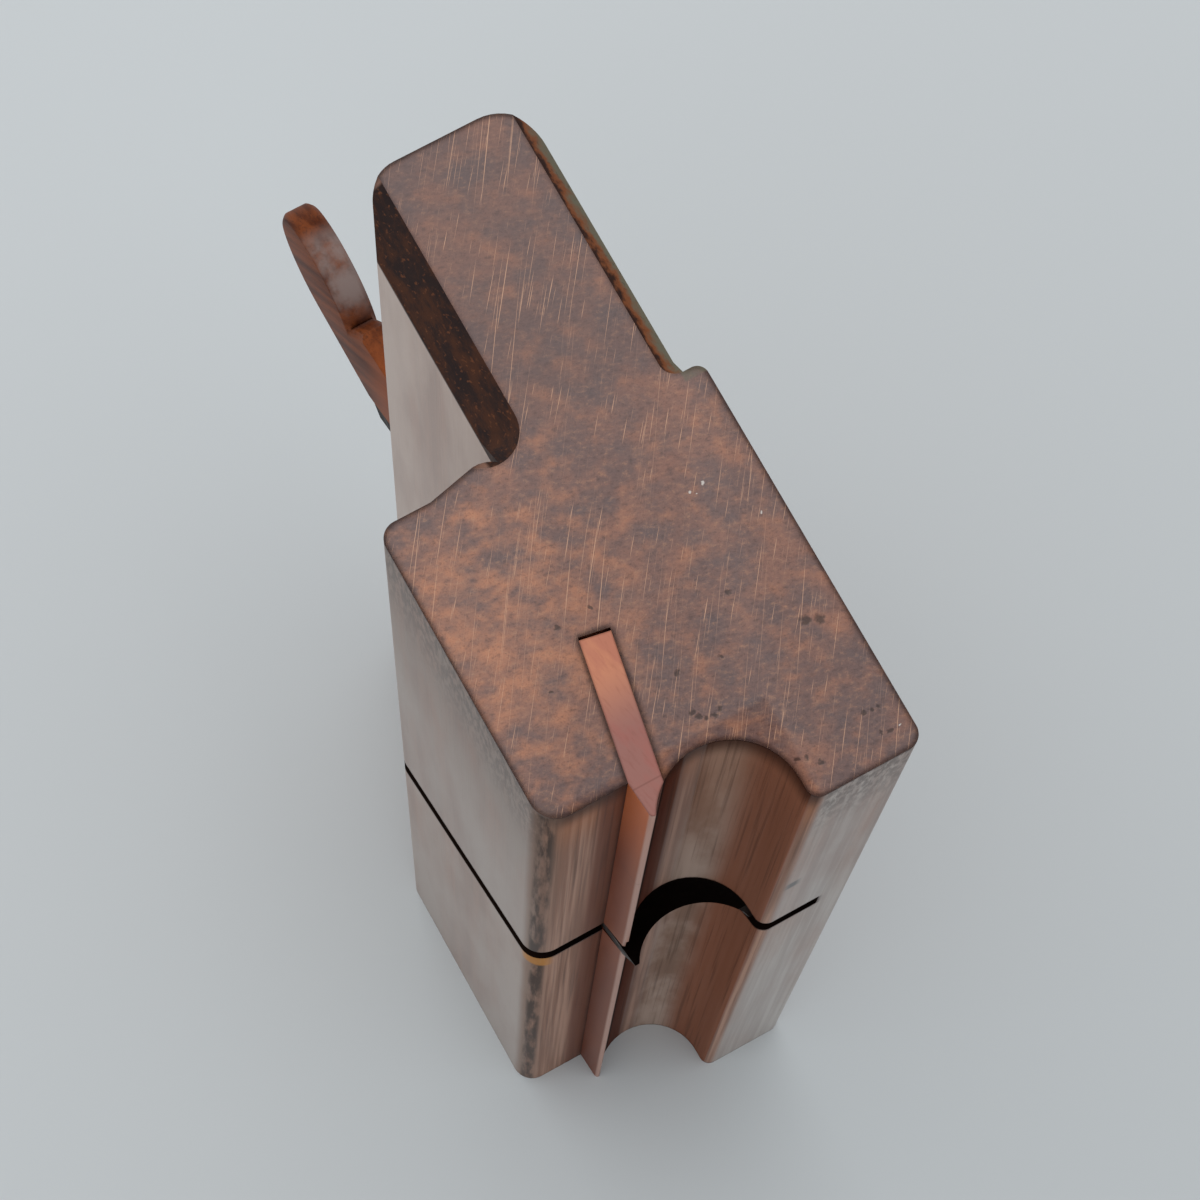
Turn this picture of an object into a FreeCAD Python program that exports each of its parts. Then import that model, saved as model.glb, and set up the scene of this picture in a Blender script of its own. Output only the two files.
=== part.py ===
import FreeCAD, Part
import os
import re
from math import atan2, hypot, sqrt
import Sketcher

# Boxed side bead moulding plane, standing on its heel with the toe up.
# Each piece is drawn in the plane's own datum: x from the blind flank towards the fence flank, y from the
# depth stop flat of the sole up to the grip, z from the heel to the toe. The pieces are then placed
# together, so that the origin is the middle of the heel end.

SIZES = [
    ("stock_length", 241, "heel to toe"),
    ("stock_width", 46.3, "across the two flanks"),
    ("stock_height", 84.7, "depth stop flat to the top of the grip"),
    ("blind_arris", 3.6, "worn round between blind flank and depth stop flat"),
    ("fence_drop", 12.9, "fence below the depth stop flat"),
    ("fence_arris", 2.2, "round at the outer corner of the fence"),
    ("quirk_arris", 1.8, "round at the inner corner of the fence"),
    ("bead_radius", 9.4, "hollow that leaves a bead three quarters of an inch wide"),
    ("bead_centre", 21.0, "bead axis from the blind flank"),
    ("bead_crown", 0.2, "crown of the hollow below the depth stop flat"),
    ("ridge_face", 11.7, "root of the quirk ridge from the blind flank"),
    ("ridge_lean", 0.35, "tip of the ridge face further in than its root"),
    ("ridge_drop", 5.1, "tip of the quirk ridge below the depth stop flat"),
    ("ridge_round", 0.6, "round at the tip of the quirk ridge"),
    ("blind_step", 42.9, "height of the step on the blind side"),
    ("blind_step_round", 2.4, "outer corner of the blind step"),
    ("blind_step_flat", 7.6, "flat part of the blind step"),
    ("blind_step_crest", 14.8, "crest of the blind step from the blind flank"),
    ("blind_step_rise", 1.6, "crest above the flat part"),
    ("blind_step_dip", 0.7, "quirk at the foot of the grip above the flat part"),
    ("fence_step", 42.7, "height of the step on the fence side"),
    ("fence_step_round", 1.6, "outer corner of the fence step"),
    ("grip_inset", 17.5, "grip from the blind flank"),
    ("grip_width", 26.0, "grip across"),
    ("crown_round", 5.2, "top edge of the grip on the blind side"),
    ("crown_inset", 7.5, "axis of that round from the side of the grip"),
    ("crown_slope", 65.6, "slope of the chamfer below it"),
    ("crown_fence_round", 6.5, "top edge of the grip on the fence side"),
    ("end_chamfer", 4.8, "end chamfers on the blind side of the grip"),
    ("end_chamfer_fence", 2.2, "end chamfers on the fence side of the grip"),
    ("chamfer_stop", 5.0, "blind side chamfers stop this far above the step"),
    ("pitch", 55, "bed to sole"),
    ("bed_from_toe", 105.5, "bed from the toe, at the depth stop flat"),
    ("iron_thickness", 4.0, "iron"),
    ("iron_gap", 0.05, "iron to bed and iron to wedge"),
    ("kerf_play", 0.3, "kerf wider than the iron"),
    ("kerf_top", 41.6, "top of the kerf"),
    ("kerf_reach", 39.9, "kerf from the blind flank"),
    ("mouth_inset", 12.4, "throat from the blind flank"),
    ("mouth_from_toe", 93.0, "front wall of the mouth from the toe"),
    ("throat_floor", 4.0, "lower lip of the escapement"),
    ("throat_lip", 8.0, "top of the straight wall of the mouth"),
    ("eye_front", 89.0, "front edge of the escapement from the toe"),
    ("eye_spring", 22.0, "height where its arch begins"),
    ("eye_back", 25.0, "height where its arch meets the bed"),
    ("eye_radius", 17.2, "arch of the escapement on the flank"),
    ("throat_spring", 7.0, "height where the arch begins at the blind end"),
    ("throat_back", 10.0, "height where it meets the bed there"),
    ("throat_radius", 10.6, "arch of the throat at the blind end"),
    ("mortise_offset", 10.5, "mortise from the closed end of the kerf"),
    ("wedge_thickness", 5.7, "wedge across"),
    ("mortise_play", 0.15, "wedge to each cheek of the mortise"),
    ("mortise_mouth", 27.1, "mortise along the top of the grip"),
    ("mortise_foot", 10.0, "lowest point of the mortise"),
    ("wedge_angle", 10, "taper of the wedge"),
    ("wedge_gap", 0.05, "wedge to the front wall of the mortise"),
    ("wedge_tip", 11.0, "tip of the wedge above the depth stop flat"),
    ("wedge_tip_width", 1.2, "blunt tip"),
    ("wedge_pare", 30.0, "height where the tip is pared away"),
    ("head_rise", 44.2, "finial axis above the grip"),
    ("head_lead", 25.1, "finial axis ahead of the wedge's back"),
    ("head_radius", 13.0, "finial"),
    ("head_notch", 65, "notch below the finial, from level"),
    ("notch_rise", 27.7, "shoulder under the finial above the grip"),
    ("head_chamfer", 0.9, "edges of the finial"),
    ("blade_inset", 1.2, "blade from the blind flank"),
    ("blade_play", 0.2, "blade to the closed end of the kerf"),
    ("blade_shoulder", 27.0, "blade's shoulders begin"),
    ("blade_neck", 34.5, "blade's shoulders end"),
    ("tang_play", 0.3, "tang to each cheek of the mortise"),
    ("tang_rise", 22.0, "end of the tang above the grip"),
    ("iron_set", 3.4, "iron standing proud of the sole"),
    ("stop_relief", 5.0, "iron ground back from the depth stop flat"),
    ("fence_relief", 4.0, "iron ground back from the fence"),
    ("tooth_width", 0.7, "iron's quirk tooth, flat at its tip"),
    ("bevel", 30, "iron's bevel"),
    ("slip_height", 18.9, "boxing slip along its lean"),
    ("slip_thickness", 4.2, "boxing slip"),
    ("slip_lean", 10.5, "boxing slip off upright"),
    ("slip_top_gap", 0.4, "open end of the slot above the slip"),
    ("slip_glue", 0.02, "glue line"),
]

FUNCTIONS = ("sin", "cos", "tan", "sqrt")
OVERCUT = 1.0


def fill_sheet(doc):
    """The driving sizes, one alias each, in millimetres and degrees."""
    sheet = doc.addObject("Spreadsheet::Sheet", "Sizes")
    for row, (alias, number, note) in enumerate(SIZES, start=1):
        sheet.set(f"A{row}", alias)
        sheet.set(f"B{row}", str(number))
        sheet.set(f"C{row}", note)
        sheet.setAlias(f"B{row}", alias)
    doc.recompute()
    return sheet


doc = FreeCAD.newDocument("moulding_plane")
sheet = fill_sheet(doc)


def sized(expression):
    """The expression with each alias read from the sheet."""
    def qualify(match):
        word = match.group(0)
        return word if word in FUNCTIONS else "Sizes." + word
    return re.sub(r"[a-z][a-z_]+", qualify, str(expression))


def number(expression):
    """What an expression of the sheet's sizes comes to."""
    return float(sheet.evalExpression(str(expression)))


def origin_plane(body, role):
    return next(feature for feature in body.Origin.OriginFeatures if feature.Role == role)


def new_body(name):
    body = doc.addObject("PartDesign::Body", name)
    body.Label = name
    return body


def new_sketch(body, name, role, offset="0"):
    """A sketch on an origin plane of the body, moved along the plane's normal."""
    sketch = body.newObject("Sketcher::SketchObject", name)
    sketch.AttachmentSupport = [(origin_plane(body, role), "")]
    sketch.MapMode = "FlatFace"
    sketch.setExpression("AttachmentOffset.Base.z", sized(offset))
    return sketch


def bind(sketch, *constraint, size):
    """A dimension of the sketch that follows the sheet."""
    index = sketch.addConstraint(Sketcher.Constraint(*constraint, number(size)))
    sketch.setExpression(f"Constraints[{index}]", sized(size))


def arc_between(start, end, radius, turn):
    """The arc under a half circle from start to end; turn is 1 to the left, -1 to the right."""
    half = hypot(end[0] - start[0], end[1] - start[1]) / 2
    reach = turn * sqrt(max(radius ** 2 - half ** 2, 0)) / (2 * half)
    centre_x = (start[0] + end[0]) / 2 - reach * (end[1] - start[1])
    centre_y = (start[1] + end[1]) / 2 + reach * (end[0] - start[0])
    first, last = (start, end) if turn > 0 else (end, start)
    angles = [atan2(point[1] - centre_y, point[0] - centre_x) for point in (first, last)]
    circle = Part.Circle(FreeCAD.Vector(centre_x, centre_y, 0), FreeCAD.Vector(0, 0, 1), radius)
    return Part.ArcOfCircle(circle, *angles)


def draw_outline(sketch, corners):
    """A closed outline through corners (x, y). A corner (x, y, radius, turn) is reached by an arc."""
    places = [(number(corner[0]), number(corner[1])) for corner in corners]
    ends = []
    for index, corner in enumerate(corners):
        start, end = places[index - 1], places[index]
        if len(corner) == 2:
            line = Part.LineSegment(FreeCAD.Vector(*start, 0), FreeCAD.Vector(*end, 0))
            ends.append((sketch.addGeometry(line), 1, 2))
            continue
        side = sketch.addGeometry(arc_between(start, end, number(corner[2]), corner[3]))
        ends.append((side, 1, 2) if corner[3] > 0 else (side, 2, 1))
    for index, corner in enumerate(corners):
        side, _, tail = ends[index]
        next_side, head, _ = ends[(index + 1) % len(corners)]
        sketch.addConstraint(Sketcher.Constraint("Coincident", side, tail, next_side, head))
        bind(sketch, "DistanceX", -1, 1, side, tail, size=corner[0])
        bind(sketch, "DistanceY", -1, 1, side, tail, size=corner[1])
        if len(corner) > 2:
            bind(sketch, "Radius", side, size=corner[2])


def draw_circle(sketch, x, y, radius):
    centre = FreeCAD.Vector(number(x), number(y), 0)
    circle = sketch.addGeometry(Part.Circle(centre, FreeCAD.Vector(0, 0, 1), number(radius)))
    bind(sketch, "DistanceX", -1, 1, circle, 3, size=x)
    bind(sketch, "DistanceY", -1, 1, circle, 3, size=y)
    bind(sketch, "Radius", circle, size=radius)


def pad(body, name, sketch, length):
    feature = body.newObject("PartDesign::Pad", name)
    feature.Profile = sketch
    feature.setExpression("Length", sized(length))
    return feature


def pocket(body, name, sketch, length):
    """A cut that runs along the sketch's normal."""
    feature = body.newObject("PartDesign::Pocket", name)
    feature.Profile = sketch
    feature.Reversed = True
    feature.setExpression("Length", sized(length))
    return feature


def place(piece):
    """Moves a piece from the plane's own datum to the row's frame."""
    piece.setExpression("Placement.Base.x", sized("-stock_width / 2"))
    piece.setExpression("Placement.Base.y", sized("-(stock_height - fence_drop) / 2"))


# Lines of the side view: z at the height y, for the slopes that the iron, wedge, bed and mortise share
def bed(y):
    return f"(stock_length - bed_from_toe - ({y}) / tan(pitch))"


def kerf_front(y):
    return f"({bed(y)} + (iron_gap + iron_thickness + kerf_play) / sin(pitch))"


def heel_end(y):
    return "0"


def toe_end(y):
    return "stock_length"


def wedge_back(y):
    return f"({bed(y)} + (2 * iron_gap + iron_thickness) / sin(pitch))"


def mortise_front(y):
    return f"({bed('stock_height')} + mortise_mouth + (stock_height - ({y})) / tan(pitch + wedge_angle))"


def wedge_front(y):
    return f"({mortise_front(y)} - wedge_gap / sin(pitch + wedge_angle))"


FENCE_WALL = "bead_centre + bead_radius"
BEAD_AXIS = "-(bead_crown + bead_radius)"
RIDGE_TIP = "ridge_face + ridge_lean"
RIDGE_BEAD = "bead_centre - sqrt(bead_radius ^ 2 - (bead_crown + bead_radius - ridge_drop) ^ 2)"
MORTISE_SIDE = "(kerf_reach - mortise_offset)"
GRIP_SIDE = "(grip_inset + grip_width)"
BELOW_SOLE = f"-(fence_drop + {OVERCUT})"


def draw_section(body):
    """The block below the steps, with the profile of the sole."""
    sketch = new_sketch(body, "section", "XY_Plane")
    draw_outline(sketch, [
        ("0", "blind_arris", "blind_arris", -1),
        ("0", "blind_step - blind_step_round"),
        ("blind_step_round", "blind_step", "blind_step_round", -1),
        ("blind_step_flat", "blind_step"),
        ("blind_step_crest", "blind_step + blind_step_rise"),
        ("grip_inset", "blind_step + blind_step_dip", "blind_step_rise * 1.6", -1),
        (GRIP_SIDE, "fence_step"),
        ("stock_width - fence_step_round", "fence_step"),
        ("stock_width", "fence_step - fence_step_round", "fence_step_round", -1),
        ("stock_width", "fence_arris - fence_drop"),
        ("stock_width - fence_arris", "-fence_drop", "fence_arris", -1),
        (f"{FENCE_WALL} + quirk_arris", "-fence_drop"),
        (FENCE_WALL, "quirk_arris - fence_drop", "quirk_arris", -1),
        (FENCE_WALL, BEAD_AXIS),
        ("bead_centre", "-bead_crown", "bead_radius", 1),
        (RIDGE_BEAD, "-ridge_drop", "bead_radius", 1),
        (RIDGE_TIP, "-ridge_drop"),
        ("ridge_face", "0"),
        ("blind_arris", "0"),
    ])
    return sketch


def draw_grip(body):
    """The narrow upper part, with its rounded and chamfered top edges."""
    sketch = new_sketch(body, "grip_section", "XY_Plane")
    round_x = "(grip_inset + crown_inset - crown_round * sin(crown_slope))"
    round_y = "(stock_height - crown_round + crown_round * cos(crown_slope))"
    draw_outline(sketch, [
        ("grip_inset", "kerf_top - chamfer_stop"),
        ("grip_inset", f"{round_y} - ({round_x} - grip_inset) * tan(crown_slope)"),
        (round_x, round_y),
        ("grip_inset + crown_inset", "stock_height", "crown_round", -1),
        (f"{GRIP_SIDE} - crown_fence_round", "stock_height"),
        (GRIP_SIDE, "stock_height - crown_fence_round", "crown_fence_round", -1),
        (GRIP_SIDE, "kerf_top - chamfer_stop"),
    ])
    return sketch


def slip_point(along, across):
    """A point of the leaning slip: along its lean from the root of the ridge face, and across it."""
    return (f"ridge_face + ({along}) * sin(slip_lean) + ({across}) * cos(slip_lean)",
            f"({along}) * cos(slip_lean) - ({across}) * sin(slip_lean)")


def slip_side_at(y, across):
    """x of the slip's far side at the height y."""
    return f"ridge_face + ({y}) * tan(slip_lean) + ({across}) / cos(slip_lean)"


def cut_slot(body):
    """The slot that holds the boxing slips. Its open foot takes the whole ridge."""
    sketch = new_sketch(body, "slip_slot_section", "XY_Plane")
    foot = "-(fence_drop - bead_crown)"
    draw_outline(sketch, [
        ("ridge_face", "0"),
        slip_point("slip_height + slip_top_gap", "0"),
        slip_point("slip_height + slip_top_gap", "slip_thickness + slip_glue"),
        (slip_side_at(foot, "slip_thickness + slip_glue"), foot),
        ("ridge_face - ridge_lean", foot),
    ])
    pocket(body, "slip_slot", sketch, "stock_length")


def open_kerf(body, back=bed, front=kerf_front):
    """The sawn kerf: bed on one side, just wider than the iron, open to the blind flank and the sole."""
    sketch = new_sketch(body, "kerf_section", "YZ_Plane", f"-{OVERCUT}")
    draw_outline(sketch, [
        (BELOW_SOLE, back(BELOW_SOLE)),
        ("kerf_top", back("kerf_top")),
        ("kerf_top", front("kerf_top")),
        (BELOW_SOLE, front(BELOW_SOLE)),
    ])
    pocket(body, "kerf", sketch, f"kerf_reach + {OVERCUT}")


def open_mouth(body):
    """The mouth ahead of the iron, with its front wall square to the sole."""
    sketch = new_sketch(body, "mouth_section", "YZ_Plane", "mouth_inset")
    front = "stock_length - mouth_from_toe"
    meets = f"(({kerf_front('0')} - ({front})) * tan(pitch))"
    draw_outline(sketch, [
        (meets, front),
        ("throat_lip", bed("throat_lip")),
        ("throat_lip", front),
    ])
    pocket(body, "mouth", sketch, "kerf_reach - mouth_inset")


def draw_throat(body, name, offset, floor, front, spring, back, radius):
    """One end of the flared throat: bed line, front edge and an arch between them."""
    sketch = new_sketch(body, name, "YZ_Plane", offset)
    draw_outline(sketch, [
        (floor, bed(floor)),
        (back, bed(back)),
        (spring, front, radius, 1),
        (floor, front),
    ])
    return sketch


def open_throat(body):
    """The flared throat, small at the blind end and wide at the fence flank, where the shavings leave."""
    blind_end = draw_throat(body, "throat_blind_end", "mouth_inset", "0", "stock_length - mouth_from_toe",
                            "throat_spring", "throat_back", "throat_radius")
    eye = draw_throat(body, "throat_eye", f"stock_width + {OVERCUT}", "throat_floor",
                      "stock_length - eye_front", "eye_spring", "eye_back", "eye_radius")
    throat = body.newObject("PartDesign::SubtractiveLoft", "throat")
    throat.Profile = blind_end
    throat.Sections = [eye]
    throat.Ruled = True


def open_mortise(body):
    """The tapered mortise for the wedge and the tang, open at the top of the grip and into the throat."""
    sketch = new_sketch(body, "mortise_section", "YZ_Plane", MORTISE_SIDE)
    above = f"(stock_height + {OVERCUT})"
    draw_outline(sketch, [
        ("mortise_foot", bed("mortise_foot")),
        (above, bed(above)),
        (above, mortise_front(above)),
        ("mortise_foot", mortise_front("mortise_foot")),
    ])
    pocket(body, "mortise", sketch, "wedge_thickness + 2 * mortise_play")


def chamfer_grip_corner(body, name, corner, width, stop, inward, end, lengthwise):
    """A chamfer down one corner of the grip's end, stopped above the step by a gouge cut.

    inward is the way into the grip along x, lengthwise the way into the stock along z.
    """
    sketch = new_sketch(body, name + "_section", "XZ_Plane", f"-{stop}")
    draw_outline(sketch, [
        (f"{corner} - {inward} * {OVERCUT}", f"{end} - {lengthwise} * {OVERCUT}"),
        (f"{corner} + {inward} * ({width} + {OVERCUT})", f"{end} - {lengthwise} * {OVERCUT}"),
        (f"{corner} - {inward} * {OVERCUT}", f"{end} + {lengthwise} * ({width} + {OVERCUT})"),
    ])
    cut = pocket(body, name, sketch, "stock_height")
    cut.Reversed = False
    gouge = body.newObject("PartDesign::SubtractiveCone", name + "_stop")
    gouge.AttachmentSupport = [(origin_plane(body, "XY_Plane"), "")]
    gouge.MapMode = "FlatFace"
    gouge.setExpression("AttachmentOffset.Base.x", sized(corner))
    gouge.setExpression("AttachmentOffset.Base.y", sized(stop))
    if lengthwise < 0:
        gouge.AttachmentOffset = FreeCAD.Placement(gouge.AttachmentOffset.Base,
                                                   FreeCAD.Rotation(FreeCAD.Vector(1, 0, 0), 180))
    gouge.setExpression("AttachmentOffset.Base.z", sized(f"{end} - {lengthwise} * {OVERCUT}"))
    gouge.setExpression("Radius1", sized(f"{width} + {OVERCUT}"))
    gouge.Radius2 = 0
    gouge.setExpression("Height", sized(f"{width} + {OVERCUT}"))


def build_stock():
    body = new_body("stock")
    pad(body, "block", draw_section(body), "stock_length")
    pad(body, "grip", draw_grip(body), "stock_length")
    for end_name, end, lengthwise in (("toe", "stock_length", -1), ("heel", "0", 1)):
        chamfer_grip_corner(body, end_name + "_chamfer", "grip_inset", "end_chamfer",
                            "(blind_step + chamfer_stop)", 1, end, lengthwise)
        chamfer_grip_corner(body, end_name + "_fence_chamfer", GRIP_SIDE, "end_chamfer_fence",
                            "(fence_step + end_chamfer_fence)", -1, end, lengthwise)
    open_throat(body)
    open_mouth(body)
    open_mortise(body)
    open_kerf(body)
    cut_slot(body)
    place(body)
    return body


def build_slip(name, start, end, side):
    """A boxing slip from start to end along the stock, with its share of the ridge and the bead hollow."""
    body = new_body(name)
    sketch = new_sketch(body, "slip_section", "XY_Plane", start)
    draw_outline(sketch, [
        ("ridge_face", "0"),
        slip_point("slip_height", "0"),
        slip_point("slip_height", "slip_thickness"),
        (slip_side_at("-ridge_drop", "slip_thickness"), "-ridge_drop"),
        (f"{RIDGE_TIP} + ridge_round", "-ridge_drop"),
        (RIDGE_TIP, "ridge_round - ridge_drop", "ridge_round", -1),
    ])
    pad(body, "slip", sketch, f"({end}) - ({start})")
    bead = new_sketch(body, "bead_section", "XY_Plane", start)
    draw_circle(bead, "bead_centre", BEAD_AXIS, "bead_radius")
    pocket(body, "bead", bead, f"({end}) - ({start})")
    if side == "ahead":
        open_throat(body)
        open_mouth(body)
        open_kerf(body, back=heel_end)
    if side == "behind":
        open_kerf(body, front=toe_end)
    place(body)
    return body


def build_boxing():
    """Two slips ahead of the mouth and three behind it, numbered from the toe."""
    toe_joint = "(stock_length - mouth_from_toe / 2)"
    heel_joint = "((stock_length - bed_from_toe) / 3)"
    spans = [
        (toe_joint, "stock_length", ""),
        (kerf_front("slip_height"), toe_joint, "ahead"),
        (f"2 * {heel_joint}", bed("-fence_drop"), "behind"),
        (heel_joint, f"2 * {heel_joint}", ""),
        ("0", heel_joint, ""),
    ]
    return [build_slip(f"boxing_slip_{index}", *span) for index, span in enumerate(spans, start=1)]


def head_edges(shape, lowest):
    """Names of the edges round the sides of the finial, above the height of its shoulder."""
    names = []
    for index, edge in enumerate(shape.Edges, start=1):
        box = edge.BoundBox
        if box.XLength < 0.01 and box.YMax > lowest + 0.01 and box.YMin > lowest - 0.01:
            names.append(f"Edge{index}")
    return names


def build_wedge():
    """The tapered wedge: straight back on the iron, notched round finial, pared tip."""
    body = new_body("wedge")
    sketch = new_sketch(body, "profile", "YZ_Plane", f"{MORTISE_SIDE} + mortise_play")
    head_y = "(stock_height + head_rise)"
    head_z = f"({wedge_back(head_y)} + head_lead)"
    back_z = f"({head_z} - head_radius)"
    back_y = f"(({wedge_back('0')} - {back_z}) * tan(pitch))"
    shoulder = "(stock_height + notch_rise)"
    draw_outline(sketch, [
        ("wedge_tip", wedge_back("wedge_tip")),
        (back_y, back_z),
        (head_y, back_z),
        (f"{head_y} + head_radius", head_z, "head_radius", 1),
        (f"{head_y} - head_radius * sin(head_notch)", f"{head_z} + head_radius * cos(head_notch)",
         "head_radius", 1),
        (shoulder, wedge_front(shoulder)),
        ("wedge_pare", wedge_front("wedge_pare")),
        ("wedge_tip", f"{wedge_back('wedge_tip')} + wedge_tip_width"),
    ])
    blank = pad(body, "blank", sketch, "wedge_thickness")
    doc.recompute()
    ease = body.newObject("PartDesign::Chamfer", "head_edges")
    ease.Base = (blank, head_edges(blank.Shape, number(shoulder)))
    ease.setExpression("Size", sized("head_chamfer"))
    place(body)
    return body


def iron_reach(y):
    """Distance up the iron's face of a line that lies at the height y when the iron is set out."""
    return f"((({y}) - iron_set - (iron_gap + iron_thickness) * cos(pitch)) / sin(pitch))"


def grinding_cut(profile, name):
    """A cut through the iron along its bevel, from a profile that lies on the iron's face."""
    cut = doc.addObject("Part::Extrusion", name)
    cut.Base = profile
    cut.DirMode = "Custom"
    cut.Solid = True
    cut.Dir = FreeCAD.Vector(0, 1, -1)
    cut.setExpression("Dir.x", "0")
    cut.setExpression("Dir.y", sized("cos(bevel)"))
    cut.setExpression("Dir.z", sized("-sin(bevel)"))
    cut.setExpression("LengthFwd", sized(f"(iron_thickness + 2 * {OVERCUT}) / sin(bevel)"))
    return cut


def lay_on_face(profile, x, y):
    """Places a grinding profile just above the iron's face, drawn back along the bevel."""
    profile.setExpression("Placement.Base.x", sized(x))
    profile.setExpression("Placement.Base.y", sized(f"({y}) - {OVERCUT} / tan(bevel)"))
    profile.setExpression("Placement.Base.z", sized(f"iron_gap + iron_thickness + {OVERCUT}"))


def build_iron():
    """The cutting iron, drawn flat: x across, y up the bed, z off the bed."""
    tang_left = f"({MORTISE_SIDE} + tang_play)"
    tang_right = f"({MORTISE_SIDE} + wedge_thickness + 2 * mortise_play - tang_play)"
    blade_right = "(kerf_reach - blade_play)"
    edge = iron_reach("-ridge_drop")
    blank = doc.addObject("PartDesign::Body", "iron_blank")
    sketch = new_sketch(blank, "iron_outline", "XY_Plane", "iron_gap")
    draw_outline(sketch, [
        ("blade_inset", edge),
        ("blade_inset", "blade_shoulder / sin(pitch)"),
        (tang_left, "blade_neck / sin(pitch)"),
        (tang_left, "(stock_height + tang_rise) / sin(pitch)"),
        (tang_right, "(stock_height + tang_rise) / sin(pitch)"),
        (tang_right, "blade_neck / sin(pitch)"),
        (blade_right, "blade_shoulder / sin(pitch)"),
        (blade_right, edge),
    ])
    pad(blank, "iron_plate", sketch, "iron_thickness")

    bead = doc.addObject("Part::Ellipse", "bead_edge")
    bead.setExpression("MajorRadius", sized("bead_radius / sin(pitch)"))
    bead.setExpression("MinorRadius", sized("bead_radius"))
    bead.Placement.Rotation = FreeCAD.Rotation(FreeCAD.Vector(0, 0, 1), 90)
    lay_on_face(bead, "bead_centre", iron_reach(BEAD_AXIS))

    ends = doc.addObject("Sketcher::SketchObject", "ground_ends")
    low = f"({edge} - bead_radius)"
    tooth = f"({RIDGE_TIP} + tooth_width)"
    stop = iron_reach("stop_relief")
    draw_outline(ends, [
        (f"blade_inset - {OVERCUT}", low),
        (f"blade_inset - {OVERCUT}", stop),
        ("ridge_face", stop),
        (RIDGE_TIP, edge),
        (tooth, edge),
        (f"{FENCE_WALL} - {OVERCUT}", edge),
        (f"{FENCE_WALL} - {OVERCUT}", iron_reach("fence_relief - fence_drop")),
        (f"{blade_right} + {OVERCUT}", iron_reach("fence_relief - fence_drop")),
        (f"{blade_right} + {OVERCUT}", low),
    ])
    lay_on_face(ends, "0", "0")

    ground = doc.addObject("Part::Cut", "iron_ground")
    ground.Base = blank
    ground.Tool = grinding_cut(ends, "end_grinding")
    iron = doc.addObject("Part::Cut", "iron")
    iron.Label = "iron"
    iron.Base = ground
    iron.Tool = grinding_cut(bead, "bead_grinding")
    iron.setExpression("Placement.Rotation.Angle", sized("pitch - 90"))
    iron.Placement = FreeCAD.Placement(FreeCAD.Vector(0, 0, 0),
                                       FreeCAD.Rotation(FreeCAD.Vector(1, 0, 0), number("pitch - 90")))
    place(iron)
    iron.setExpression("Placement.Base.z", sized("stock_length - bed_from_toe"))
    return iron


def check(pieces):
    """Stops if a feature failed, cut nothing, or left a piece that isn't one sound solid."""
    for item in doc.Objects:
        if {"Invalid", "Error"} & set(item.State):
            raise RuntimeError(f"{item.Name} failed: {item.getStatusString()}")
        if item.TypeId == "PartDesign::Pocket" or item.TypeId.startswith("PartDesign::Subtractive"):
            if item.Shape.Volume >= item.BaseFeature.Shape.Volume:
                raise RuntimeError(f"{item.Name} cut nothing")
    for piece in pieces:
        shape = piece.Shape
        if shape.isNull() or not shape.isValid() or len(shape.Solids) != 1:
            raise RuntimeError(f"{piece.Label} isn't one sound solid")


pieces = [build_stock(), *build_boxing(), build_wedge(), build_iron()]
doc.recompute()
check(pieces)
os.makedirs("parts", exist_ok=True)
for piece in pieces:
    piece.Shape.exportStep(f"parts/{piece.Label}.step")
    print(piece.Label, len(piece.Shape.Faces), "faces", round(piece.Shape.Volume), "mm3")
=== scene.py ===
from math import cos, radians, sin

import bmesh
import bpy
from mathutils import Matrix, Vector


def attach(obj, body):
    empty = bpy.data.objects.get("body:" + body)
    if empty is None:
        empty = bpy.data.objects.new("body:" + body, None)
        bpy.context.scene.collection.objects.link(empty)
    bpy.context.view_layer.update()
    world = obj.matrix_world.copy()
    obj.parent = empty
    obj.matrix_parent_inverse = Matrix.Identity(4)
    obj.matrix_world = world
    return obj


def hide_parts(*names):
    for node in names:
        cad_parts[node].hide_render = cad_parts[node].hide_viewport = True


# Boxed side bead plane, standing on its heel: beech stock and wedge, boxwood slips in the sole and a dark
# steel iron. The row frame is the CAD's: +Z from heel to toe, +Y from sole to grip, +X to the fence flank.
# Places and sizes in the materials are written in millimetres and turned to metres by MM.

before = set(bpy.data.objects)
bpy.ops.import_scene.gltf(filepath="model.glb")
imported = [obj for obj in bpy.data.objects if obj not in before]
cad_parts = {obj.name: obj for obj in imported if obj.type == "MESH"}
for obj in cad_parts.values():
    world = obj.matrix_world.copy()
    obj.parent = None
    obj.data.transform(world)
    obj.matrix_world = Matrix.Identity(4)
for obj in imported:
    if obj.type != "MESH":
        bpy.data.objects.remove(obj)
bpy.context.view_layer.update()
MM = 0.001

TOE = 241  # height of the toe above the heel
PITCH = 55  # bed to sole, in degrees
BED = 90.4  # bed from the origin, measured square to the bed
KERF = 4.3  # width of the slot for the iron
KERF_END = 16.8  # closed end of the slot
WEDGE_GRAIN = (33, 0, 0)  # the wedge's grain off upright, in degrees
WORN_ROUND = 0.42  # arrises worn round by this much
SMOOTH = {"interpolation_type": "SMOOTHSTEP"}

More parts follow.
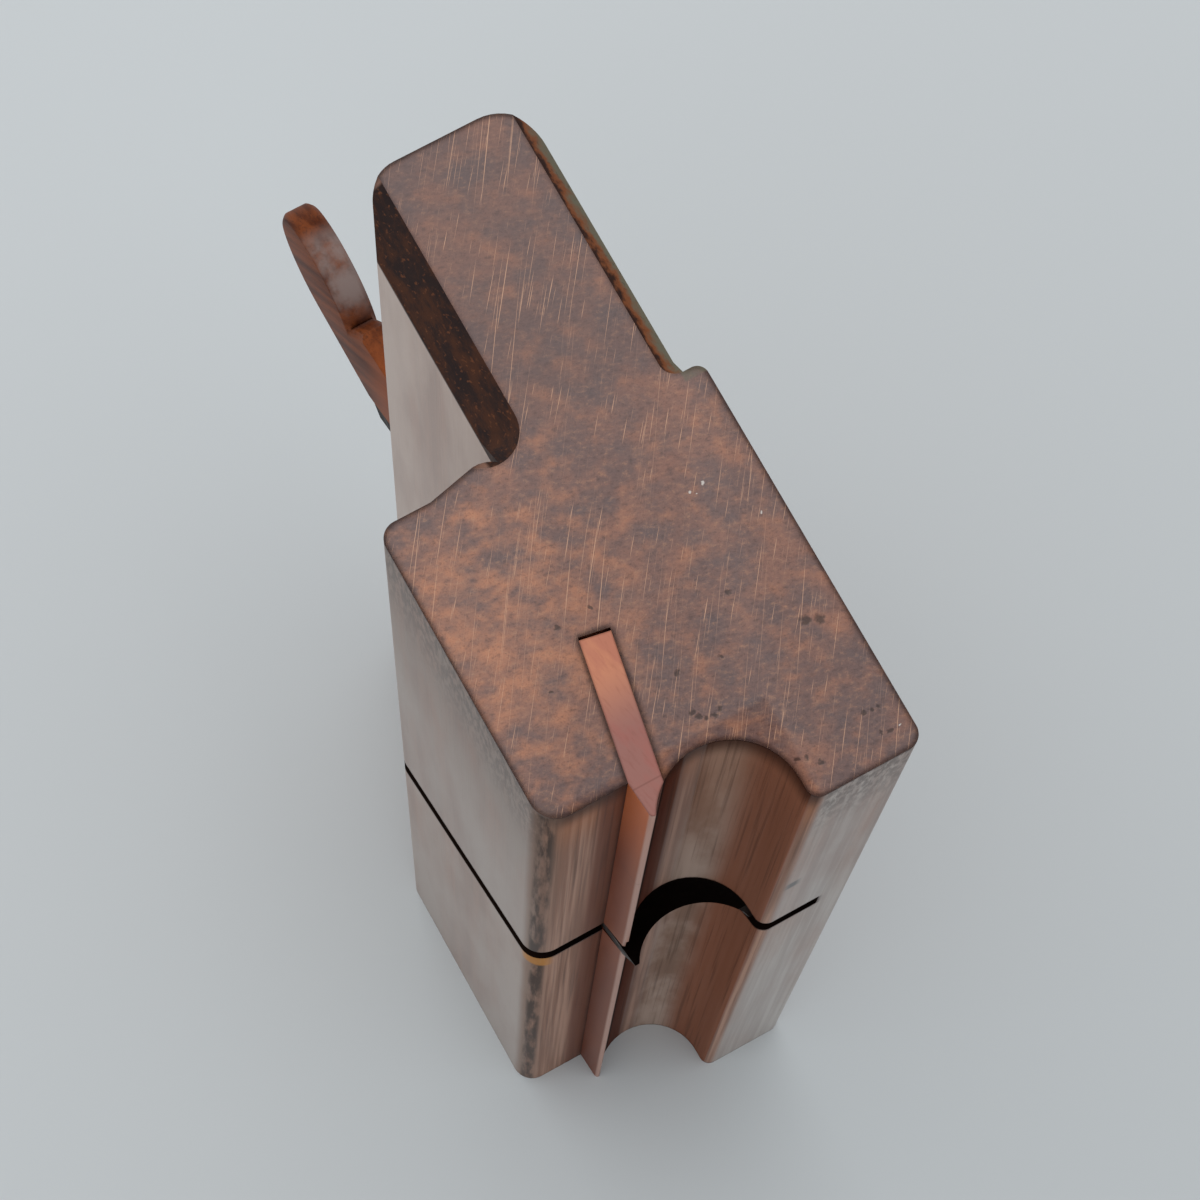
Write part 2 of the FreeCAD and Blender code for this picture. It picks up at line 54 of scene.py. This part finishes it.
# knocks in the toe: x, y and radius
TOE_DENTS = [
    (17.8, -28.5, 0.9), (19.4, -29.3, 0.9), (-4.7, -14.5, 0.45), (-9.6, -14.7, 0.45), (11.2, -20.8, 0.5),
    (0.7, -26.8, 0.6), (-0.2, -31.9, 0.5), (0.2, -32.8, 0.5), (0.9, -33.5, 0.5), (2.0, -33.6, 0.5),
    (3.0, -33.1, 0.5), (18.3, -42.1, 0.4), (19.3, -42.3, 0.4), (20.3, -42.5, 0.4), (18.8, -45.4, 0.4),
    (20.0, -45.7, 0.4), (8.2, -43.3, 0.45), (9.3, -43.7, 0.4), (10.7, -45.0, 0.5), (-14.2, -21.5, 0.35),
    (6.4, -27.5, 0.4),
]

# pale specks on the toe: x, y and radius
TOE_SPECKS = [
    (13.3, -7.4, 0.26), (14.0, -7.9, 0.18), (15.3, -7.3, 0.22), (19.9, -13.8, 0.24), (21.5, -45.6, 0.24),
]


def linear(code):
    """A hex colour as the eye reads it, turned to linear light."""
    parts = [int(code[i:i + 2], 16) / 255 for i in (1, 3, 5)]
    return (*(c / 12.92 if c <= 0.04045 else ((c + 0.055) / 1.055) ** 2.4 for c in parts), 1.0)


def add(tree, kind, inputs=None, out=0, **settings):
    """Adds one shader node and hands back an output. An input is a value, a hex colour or a socket."""
    node = tree.nodes.new("ShaderNode" + kind)
    for name, value in settings.items():
        setattr(node, name, value)
    for key, value in (inputs or {}).items():
        if isinstance(value, bpy.types.NodeSocket):
            tree.links.new(value, node.inputs[key])
        else:
            node.inputs[key].default_value = linear(value) if isinstance(value, str) else value
    return node.outputs[out]


def new_material(name):
    """An empty material, its node tree, and the place on the piece that its patterns are laid out by."""
    material = bpy.data.materials.new(name)
    material.use_nodes = True
    tree = material.node_tree
    tree.nodes.clear()
    return material, tree, add(tree, "TexCoord", out="Object")


def finish(tree, inputs):
    """Ends a material in its shader."""
    output = tree.nodes.new("ShaderNodeOutputMaterial")
    tree.links.new(add(tree, "BsdfPrincipled", inputs), output.inputs["Surface"])


def both(tree, *masks):
    """1 where every mask is 1: their product. A number among them holds the rest back."""
    shared = masks[0]
    for mask in masks[1:]:
        shared = add(tree, "Math", {0: shared, 1: mask}, operation="MULTIPLY")
    return shared


def either(tree, *masks):
    """1 where any mask is 1: the largest of them."""
    strongest = masks[0]
    for mask in masks[1:]:
        strongest = add(tree, "Math", {0: strongest, 1: mask}, operation="MAXIMUM")
    return strongest


def painted(tree, ground, *coats):
    """A ground with coats laid over it in turn, each a colour and the masks that it shows through."""
    for colour, *masks in coats:
        ground = add(tree, "Mix", {0: both(tree, *masks), 6: ground, 7: colour}, out=2, data_type="RGBA")
    return ground


def streaks(tree, place, sizes, turn=(0, 0, 0), detail=3.0, rough=0.55):
    """Uneven marks whose length along each axis is given, turned as a whole."""
    laid = add(tree, "Mapping", {"Vector": place, "Scale": [s * MM for s in sizes],
                                 "Rotation": [radians(a) for a in turn]}, vector_type="TEXTURE")
    return add(tree, "TexNoise", {"Vector": laid, "Scale": 1.0, "Detail": detail, "Roughness": rough})


def marks(tree, place, sizes, low, high, turn=(0, 0, 0), detail=3.0, rough=0.55):
    """Streaks with their contrast raised: 0 below the low level of the noise and 1 above the high one."""
    noise = streaks(tree, place, sizes, turn, detail, rough)
    return add(tree, "MapRange", {0: noise, 1: low, 2: high}, **SMOOTH)


def edge_and_corner_mask(tree, radius):
    """1 at an edge or an inner corner and 0 away from it, from the normal against one that is averaged over the
    radius. Dark laid with it is grime on the outer arrises and painted shade in the inner corners.
    """
    rounded = add(tree, "Bevel", {"Radius": radius * MM}, samples=6)
    normal = add(tree, "NewGeometry", out="Normal")
    same = add(tree, "VectorMath", {0: rounded, 1: normal}, out="Value", operation="DOT_PRODUCT")
    return add(tree, "MapRange", {0: same, 1: 0.998, 2: 0.86}, **SMOOTH)


def facing(tree, direction, low, high):
    """Share of the surface that faces a direction of the row frame."""
    inputs = {0: add(tree, "NewGeometry", out="Normal"), 1: Vector(direction).normalized()}
    toward = add(tree, "VectorMath", inputs, out="Value", operation="DOT_PRODUCT")
    return add(tree, "MapRange", {0: toward, 1: low, 2: high}, **SMOOTH)


def across(tree, place, axis, low, high):
    """0 where a coordinate of the row frame is below low and 1 above high, reversed if low is larger."""
    along = add(tree, "SeparateXYZ", {0: place}, out=axis)
    return add(tree, "MapRange", {0: along, 1: low * MM, 2: high * MM}, **SMOOTH)


def region(tree, place, lowest, highest, blur=0.4):
    """1 inside a box of the row frame given by two corners, 0 outside, blurred at its faces. None is open."""
    sides = []
    for axis, low, high in zip("XYZ", lowest, highest):
        if low is not None:
            sides.append(across(tree, place, axis, low - blur, low + blur))
        if high is not None:
            sides.append(across(tree, place, axis, high + blur, high - blur))
    return both(tree, *sides)


def near(tree, place, x, y, outer, inner):
    """1 within the inner radius of a point of the toe, 0 outside the outer one."""
    inputs = {0: place, 1: (x * MM, y * MM, TOE * MM)}
    away = add(tree, "VectorMath", inputs, out="Value", operation="DISTANCE")
    return add(tree, "MapRange", {0: away, 1: outer * MM, 2: inner * MM}, **SMOOTH)


def spots(tree, place, listed):
    """Small spots on the toe, ragged at their edges: 1 in the middle of one, 0 outside."""
    drift = 0.6  # how far the noise moves a point on average
    per_metre = 1100  # noise of 0.9 mm
    ragged = add(tree, "TexNoise", {"Vector": place, "Scale": per_metre}, out="Color")
    reach = (2 * drift * MM, 2 * drift * MM, 0)
    moved = add(tree, "VectorMath", {0: ragged, 1: reach, 2: place}, operation="MULTIPLY_ADD")
    masks = [near(tree, moved, x + drift, y + drift, radius, radius * 0.4) for x, y, radius in listed]
    return either(tree, *masks)


def long_grain(tree, place, turn, dark, light):
    """Planed beech along the grain: broad streaks, dark lines, and the short ray flecks that mark beech."""
    line = marks(tree, place, (0.5, 0.5, 60), 0.50, 0.70, turn)
    colour = painted(
        tree, dark,
        (light, marks(tree, place, (3, 3, 110), 0.36, 0.64, turn, 4)),
        ("#38211A", line, 0.38),
        ("#2C1B15", marks(tree, place, (0.25, 0.25, 2.2), 0.60, 0.68, turn, 2), 0.5))
    return colour, line


def end_grain(tree, place):
    """The sawn and filed ends: mauve brown, orange where it has worn through, with fine pale file scratches."""
    # worn through most at the corner of the blind flank, and darkest up the grip
    patch = streaks(tree, place, (3.6, 2.8, 3.6), (0, 0, -20), 4, 0.55)
    bare = add(tree, "MapRange", {0: near(tree, place, -16, -12, 26, 2), 3: 0.0, 4: 0.17})
    bare = add(tree, "Math", {0: patch, 1: bare}, operation="ADD")
    bare = add(tree, "MapRange", {0: bare, 1: 0.43, 2: 0.84}, **SMOOTH)
    share = add(tree, "MapRange", {0: across(tree, place, "X", -16, 8), 3: 0.95, 4: 0.70})
    grain = {"sizes": (0.9, 0.55, 0.9), "turn": (0, 0, -16), "detail": 5, "rough": 0.7}
    colour = painted(
        tree, "#735852",
        ("#8A6254", marks(tree, place, (7, 7, 7), 0.42, 0.64, (0, 0, 40), 4)),
        ("#B87B5B", bare, share),
        ("#5C5254", marks(tree, place, (5, 3.6, 5), 0.40, 0.78, (0, 0, -30), 3, 0.5), 0.60),
        ("#B98A6C", marks(tree, place, low=0.50, high=0.74, **grain), 0.45),
        ("#46322E", marks(tree, place, low=0.49, high=0.28, **grain), 0.50),
        # the pores are finer than 0.1 mm, and are drawn at twice that to show
        ("#3E2C28", marks(tree, place, (0.22, 0.22, 0.22), 0.50, 0.78, detail=2, rough=0.6), 0.40),
        ("#5E4A46", across(tree, place, "Y", 2, 16), 0.32))
    scratch = either(
        tree,
        marks(tree, place, (7, 0.15, 30), 0.68, 0.76, (0, 0, 51), 1),
        marks(tree, place, (18, 0.14, 30), 0.685, 0.75, (0, 0, 53), 1),
        marks(tree, place, (34, 0.17, 30), 0.66, 0.79, (0, 0, 56), 1))
    return painted(tree, colour, ("#DBAA8A", scratch, 0.75)), scratch


def beech_sides(tree, place):
    """The faces along the grain, and how dull they are: the sole works on the wood, the hollow hardest."""
    cloud = streaks(tree, place, (9, 9, 45), detail=5)
    greyed = add(tree, "MapRange", {0: cloud, 1: 0.35, 2: 0.62, 3: 0.50, 4: 0.95})
    fine = marks(tree, place, (0.9, 0.9, 90), 0.38, 0.64)
    toe_end = across(tree, place, "Z", 150, 236)
    colour, line = long_grain(tree, place, (0, 0, 0), "#6B3A27", "#8E5B43")

    # the outer faces are painted grey, partly dust and wear and partly a painted sheen of the reflection they
    # show at a grazing view: the blind flank, the side of the grip and the sole of the fence most
    outer = region(tree, place, (None, None, None), (-22.4, None, None))
    fence = region(tree, place, (9.0, None, None), (None, -46.8, None), 1.0)
    grip = region(tree, place, (-7, 6, None), (-4, None, None))
    colour = painted(
        tree, colour,
        ("#96796A", greyed, 0.55),
        (painted(tree, "#9F8F85", ("#7F6D62", toe_end)), outer, greyed),
        (painted(tree, "#958881", ("#ABA29B", fine)), fence, greyed),
        ("#B7A092", facing(tree, (-1, 0, 0), 0.80, 0.97), grip, greyed))

    # the sole: brown and streaky on the flat, orange near the toe, dark beside the ridge
    sole = region(tree, place, (-22.2, None, None), (8.6, -34.6, None), 0.5)
    flat = painted(tree, "#85614F", ("#B28C78", fine), ("#A8693F", across(tree, place, "Z", 212, 238), 0.6))
    by_ridge = region(tree, place, (-15.2, -36.8, None), (-10.6, -35, None), 1.0)

    # the hollow: painted shade in black red on its left wall, grey brown along the crown with a painted sheen
    # in it, orange brown on its right wall
    hollow = region(tree, place, (-11, -49, None), (7.6, -36.15, None), 0.15)
    cloudy = add(tree, "MapRange", {0: cloud, 1: 0.36, 2: 0.60}, **SMOOTH)
    crown = painted(tree, "#82695B", ("#AC978A", cloudy), ("#9A7059", toe_end, 0.7))
    walls = painted(tree, "#45190D", (crown, across(tree, place, "X", -5.4, 1.8)),
                    ("#865540", across(tree, place, "X", 3.0, 6.2)))

    # darker beside the toe: the sole and the hollow, and grime on the outer faces there
    smear = marks(tree, place, (0.9, 0.9, 3.5), 0.40, 0.58, detail=6, rough=0.7)
    colour = painted(
        tree, colour,
        (flat, sole, 0.8),
        ("#6A3A25", by_ridge, 0.9),
        (walls, hollow, 0.92),
        ("#33211B", line, sole, 0.35),
        ("#341B12", sole, across(tree, place, "Z", 231, 240.5), 0.85),
        ("#49362C", either(tree, outer, fence), smear, across(tree, place, "Z", 205, 240), 0.8))
    return colour, line, either(tree, both(tree, sole, 0.85), hollow)


def inside_kerf(tree, place):
    """1 on the walls of the slot that the iron lies in, which runs at the pitch of the bed."""
    inputs = {0: place, 1: (0, cos(radians(PITCH)), sin(radians(PITCH)))}
    depth = add(tree, "VectorMath", inputs, out="Value", operation="DOT_PRODUCT")
    past_bed = add(tree, "MapRange", {0: depth, 1: (BED - 0.15) * MM, 2: (BED - 0.05) * MM}, **SMOOTH)
    front = BED + KERF
    behind_front = add(tree, "MapRange", {0: depth, 1: (front + 0.15) * MM, 2: (front + 0.05) * MM}, **SMOOTH)
    return both(tree, past_bed, behind_front, across(tree, place, "X", KERF_END + 0.1, KERF_END))


def grip_chamfers(tree, place, colour):
    """The end chamfers of the grip, which hands don't rub clean, with a painted sheen on the fence side, and
    the share of the face that they take.
    """
    smear = marks(tree, place, (2.2, 6, 3), 0.36, 0.60, detail=6, rough=0.7)
    speck = marks(tree, place, (0.5, 0.9, 0.5), 0.58, 0.72, (0, 0, 30))
    soot = painted(tree, "#43281C", ("#241B1B", smear), ("#7C4A2E", speck, 0.5))
    tilted = facing(tree, (0, 0, 1), 0.965, 0.90)
    blind = both(tree, region(tree, place, (-7, 5.2, 235.5), (1.5, 47, None), 0.3), tilted)

    # the one on the fence side is rubbed brown next to the end, with a grey green painted sheen outside it and
    # a ragged border between them
    wander = 0.7 * MM
    ragged = streaks(tree, place, (2, 2.5, 2), detail=5, rough=0.65)
    ragged = add(tree, "MapRange", {0: ragged, 1: 0.3, 2: 0.7, 3: -wander, 4: wander})
    moved = add(tree, "VectorMath", {0: place, 1: add(tree, "CombineXYZ", {0: ragged})}, operation="ADD")
    rubbed_and_sheen = painted(
        tree, "#2C150C",
        ("#7A4526", across(tree, moved, "X", 18.2, 19.0)),
        ("#67604F", across(tree, moved, "X", 18.9, 20.1)),
        ("#2E2420", speck, 0.4))
    fence = both(tree, region(tree, place, (17.6, 5.5, 236), (None, None, None), 0.2), tilted)
    below = both(tree, region(tree, place, (20, 5.5, None), (None, None, None), 0.2),
                 across(tree, place, "Z", 226, 240))
    colour = painted(
        tree, colour,
        (soot, blind, facing(tree, (-0.4, 0, 1), 0.10, 0.35), 0.97),
        # the grey green painted sheen runs on, faded and broken up, down the fence side of the grip below the
        # chamfer
        ("#67604F", below, smear, 0.7),
        (rubbed_and_sheen, fence))
    return colour, either(tree, blind, fence)


def oiled_beech():
    """Beech, planed, oiled and handled for generations: red brown in the hollows, greyed where hands rub it."""
    material, tree, place = new_material("oiled_beech")
    side, line, work_dull = beech_sides(tree, place)
    end, scratch = end_grain(tree, place)
    dent = spots(tree, place, TOE_DENTS)
    # the knocks are painted dark as painted shade in them, and cut in by the bump as well
    end = painted(tree, end, ("#34241E", dent, 0.75), ("#D8D0C8", spots(tree, place, TOE_SPECKS), 0.8))
    ends = either(tree, facing(tree, (0, 0, 1), 0.85, 0.97), facing(tree, (0, 0, -1), 0.85, 0.97))

    # grime along the arrises and painted shade in the inner corners that the edge mask takes in as well, grime
    # in the outer corner of the sole, a chip beside the mouth, a nick in the fence
    edge = edge_and_corner_mask(tree, 1.5)
    grit = marks(tree, place, (1.2, 1.2, 14), 0.34, 0.60, detail=5, rough=0.62)
    corner = region(tree, place, (None, None, None), (-20.6, -32.8, 240.8), 1.1)
    chip = region(tree, place, (None, None, 128.5), (-20.2, -32.6, 136.5), 0.9)
    nick = region(tree, place, (9.0, None, 175.5), (10.9, -48.3, 179.5), 0.7)
    kerf = inside_kerf(tree, place)
    colour = painted(
        tree, side,
        (end, ends),
        ("#40190F", edge_and_corner_mask(tree, 2.4), marks(tree, place, (3, 3, 12), 0.30, 0.62), 0.55),
        ("#1F100B", edge, 0.95),
        ("#7A5F50", corner, 0.55),
        ("#2A1C15", corner, facing(tree, (-1, -1, 0), 0.90, 0.985), grit, 0.85),
        ("#B87C34", chip, 0.8),
        ("#1E1612", nick),
        # painted shade, near black, on the walls of the slot that the iron lies in
        ("#1C120E", kerf))
    colour, chamfer = grip_chamfers(tree, place, colour)

    # dark lines stand up a little, and the scratches and dents are cut in
    height = add(tree, "Math", {0: both(tree, line, 0.3), 1: both(tree, scratch, -0.3)}, operation="ADD")
    height = add(tree, "Math", {0: height, 1: both(tree, dent, -2.0)}, operation="ADD")
    bump = add(tree, "Bump", {"Height": height, "Strength": 0.3, "Distance": 0.12 * MM})
    dull = either(tree, work_dull, kerf, both(tree, either(tree, chamfer, edge, corner), 0.85))
    shine = add(tree, "MapRange", {0: dull, 3: 0.5, 4: 0.005})
    rough = add(tree, "MapRange", {0: dull, 3: 0.36, 4: 0.52})
    finish(tree, {"Base Color": colour, "Roughness": rough, "IOR": 1.5, "Normal": bump,
                  "Specular IOR Level": shine})
    return material


def varnished_beech():
    """The wedge's beech, darker and redder, with a painted sheen, grey mauve and broken up, on the front of the
    head where it faces up.
    """
    material, tree, place = new_material("varnished_beech")
    grain, line = long_grain(tree, place, WEDGE_GRAIN, "#4A2110", "#7A3F20")
    sheen_region = region(tree, place, (None, 82, 74), (None, 96, None), 3)
    colour = painted(
        tree, grain,
        # painted sheen where the head faces up
        ("#8C7A74", sheen_region, facing(tree, (0, 0.2, 1), 0.1, 0.7),
         marks(tree, place, (7, 9, 9), 0.72, 0.46, WEDGE_GRAIN, 5)),
        ("#9A5029", region(tree, place, (None, 50, None), (None, 72, None), 5), 0.6),
        # dark at the edges: grime on the outer arrises, painted shade in the inner corners
        ("#2B1710", edge_and_corner_mask(tree, 0.8), 0.6))
    bump = add(tree, "Bump", {"Height": line, "Strength": 0.2, "Distance": 0.1 * MM})
    finish(tree, {"Base Color": colour, "Roughness": 0.5, "IOR": 1.5, "Normal": bump,
                  "Specular IOR Level": 0.06})
    return material


def worn_boxwood():
    """Boxwood let into the sole, polished by the work: salmon at its end, orange brown along the quirk."""
    material, tree, place = new_material("worn_boxwood")
    soft = marks(tree, place, (3, 7, 50), 0.44, 0.64, (0, 0, 10), 4)
    fine = streaks(tree, place, (0.5, 2.5, 30), (0, 0, 10))
    fine_lines = add(tree, "MapRange", {0: fine, 1: 0.50, 2: 0.75}, **SMOOTH)

    # the end is planed off in two facets, and a line is left between them
    facets = region(tree, place, (None, -37.05, None), (None, -36.85, None), 0.08)
    end = painted(
        tree, "#9E6D64",
        ("#D08A6A", across(tree, place, "Y", -31, -20)),
        ("#A9645A", soft, 0.45),
        ("#6E443C", facets, 0.4))

    # along the quirk: orange near the toe, dark near the heel, a pale crest, and painted shade in black red on
    # the inner wall that faces the hollow
    side = painted(
        tree, "#8A4E36",
        ("#7A381C", across(tree, place, "Y", -40.4, -37.6)),
        ("#94502F", soft, 0.5),
        ("#C2642E", across(tree, place, "Z", 190, 238), 0.85),
        ("#5C3020", across(tree, place, "Z", 150, 90), 0.45),
        ("#B59082", across(tree, place, "Y", -40.3, -40.8), 0.8),
        ("#45190D", facing(tree, (1, -0.7, 0), 0.75, 0.88), 0.95))
    colour = painted(
        tree, side,
        (end, facing(tree, (0, 0, 1), 0.80, 0.95)),
        ("#7A4030", fine_lines, 0.22),
        # dark at the edges: grime on the outer arrises, painted shade in the inner corners
        ("#4A2216", edge_and_corner_mask(tree, 0.5), 0.5))
    bump = add(tree, "Bump", {"Height": fine, "Strength": 0.1, "Distance": 0.1 * MM})
    finish(tree, {"Base Color": colour, "Roughness": 0.45, "IOR": 1.5, "Normal": bump,
                  "Specular IOR Level": 0.16})
    return material


def tarnished_steel():
    """Laid steel, ground and then left to darken: black brown bloom over a dull ground face."""
    material, tree, place = new_material("tarnished_steel")
    bloom = marks(tree, place, (6, 6, 6), 0.40, 0.56, detail=6, rough=0.65)
    # the end of the blade, in the mouth, is darker: tarnish, and painted shade of the dark throat that it faces
    blade_end_tarnish_and_shade = region(tree, place, (None, None, 128), (None, -32, None), 1)
    colour = painted(tree, "#3E3834", ("#221915", bloom), ("#1C1512", blade_end_tarnish_and_shade, 0.85))
    rough = add(tree, "MapRange", {0: bloom, 3: 0.40, 4: 0.62})
    # strokes of the grindstone, drawn 0.2 mm apart to show
    stroke = streaks(tree, place, (0.2, 14, 14), detail=2)
    bump = add(tree, "Bump", {"Height": stroke, "Strength": 0.12, "Distance": 0.05 * MM})
    finish(tree, {"Base Color": colour, "Metallic": 1.0, "Roughness": rough, "Normal": bump})
    return material


def studio_floor():
    """Painted grey board, with painted light: a little lighter away from the camera."""
    material, tree, place = new_material("studio_floor")
    along = add(tree, "SeparateXYZ", {0: place}, out="Y")
    lighter_far = add(tree, "MapRange", {0: along, 1: -0.15, 2: 0.15})
    colour = painted(tree, "#CBCFD0", ("#D2D6D7", lighter_far))
    finish(tree, {"Base Color": colour, "Roughness": 0.9, "Specular IOR Level": 0.2})
    return material


def softened(node_name, width, segments=2, turn_limit=25):
    """A copy of a CAD node whose outer edges are worn round, with its loose triangles merged first."""
    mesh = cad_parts[node_name].data.copy()
    shape = bmesh.new()
    shape.from_mesh(mesh)
    bmesh.ops.remove_doubles(shape, verts=shape.verts, dist=1e-6)
    bmesh.ops.dissolve_limit(shape, angle_limit=radians(0.4), verts=shape.verts, edges=shape.edges)
    edges = [e for e in shape.edges
             if len(e.link_faces) == 2 and e.is_convex and e.calc_face_angle() > radians(turn_limit)]
    bmesh.ops.bevel(shape, geom=edges, offset=width, offset_type="OFFSET", segments=segments, profile=0.6,
                    affect="EDGES", clamp_overlap=True)
    for face in shape.faces:
        face.smooth = True
    shape.to_mesh(mesh)
    shape.free()
    mesh.set_sharp_from_angle(angle=radians(35))
    piece = bpy.data.objects.new(node_name + "_worn", mesh)
    bpy.context.scene.collection.objects.link(piece)
    return piece


finishes = {"stock": oiled_beech(), "wedge": varnished_beech(), "iron": tarnished_steel()}
boxwood = worn_boxwood()

for name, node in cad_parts.items():
    node.data.materials.clear()
    node.data.materials.append(finishes.get(name, boxwood))

# hands and use have rounded every arris of the wood
bodies = {"stock": "stock", "wedge": "wedge"}
for name, body in bodies.items():
    piece = softened(name, WORN_ROUND * MM)
    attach(piece, body)
    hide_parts(name)

floor_mesh = bpy.data.meshes.new("floor")
floor_mesh.from_pydata([(-4, -4, 0), (4, -4, 0), (4, 4, 0), (-4, 4, 0)], [], [(0, 1, 2, 3)])
floor_mesh.materials.append(studio_floor())
floor = bpy.data.objects.new("floor", floor_mesh)
bpy.context.scene.collection.objects.link(floor)

# soft studio: a pale surround and one broad lamp above and behind
scene = bpy.context.scene
scene.world = bpy.data.worlds.new("studio")
scene.world.use_nodes = True
background = scene.world.node_tree.nodes["Background"]
background.inputs["Color"].default_value = linear("#E8EBEE")
background.inputs["Strength"].default_value = 0.875

lamp = bpy.data.lights.new("broad_lamp", "AREA")
lamp.shape = "RECTANGLE"
lamp.size = 2.2
lamp.size_y = 1.8
lamp.energy = 7.9
lamp_object = bpy.data.objects.new("broad_lamp", lamp)
lamp_object.location = (-0.05, 0.9, 1.4)
lamp_object.rotation_euler = (Vector((0, 0, 0.12)) - lamp_object.location).to_track_quat("-Z", "Y").to_euler()
scene.collection.objects.link(lamp_object)

# the camera looks down on the toe from the blind side, as fitted to the plane's corners
camera = bpy.data.cameras.new("camera")
camera.sensor_width = 36
camera.lens = 116.82
camera.clip_end = 20
camera_object = bpy.data.objects.new("camera", camera)
camera_object.location = (-0.07354, -0.11259, 0.70642)
camera_object.rotation_euler = (radians(14.4887), radians(-1.6533), radians(-29.1544))
scene.collection.objects.link(camera_object)
scene.camera = camera_object
scene.view_settings.view_transform = "Standard"
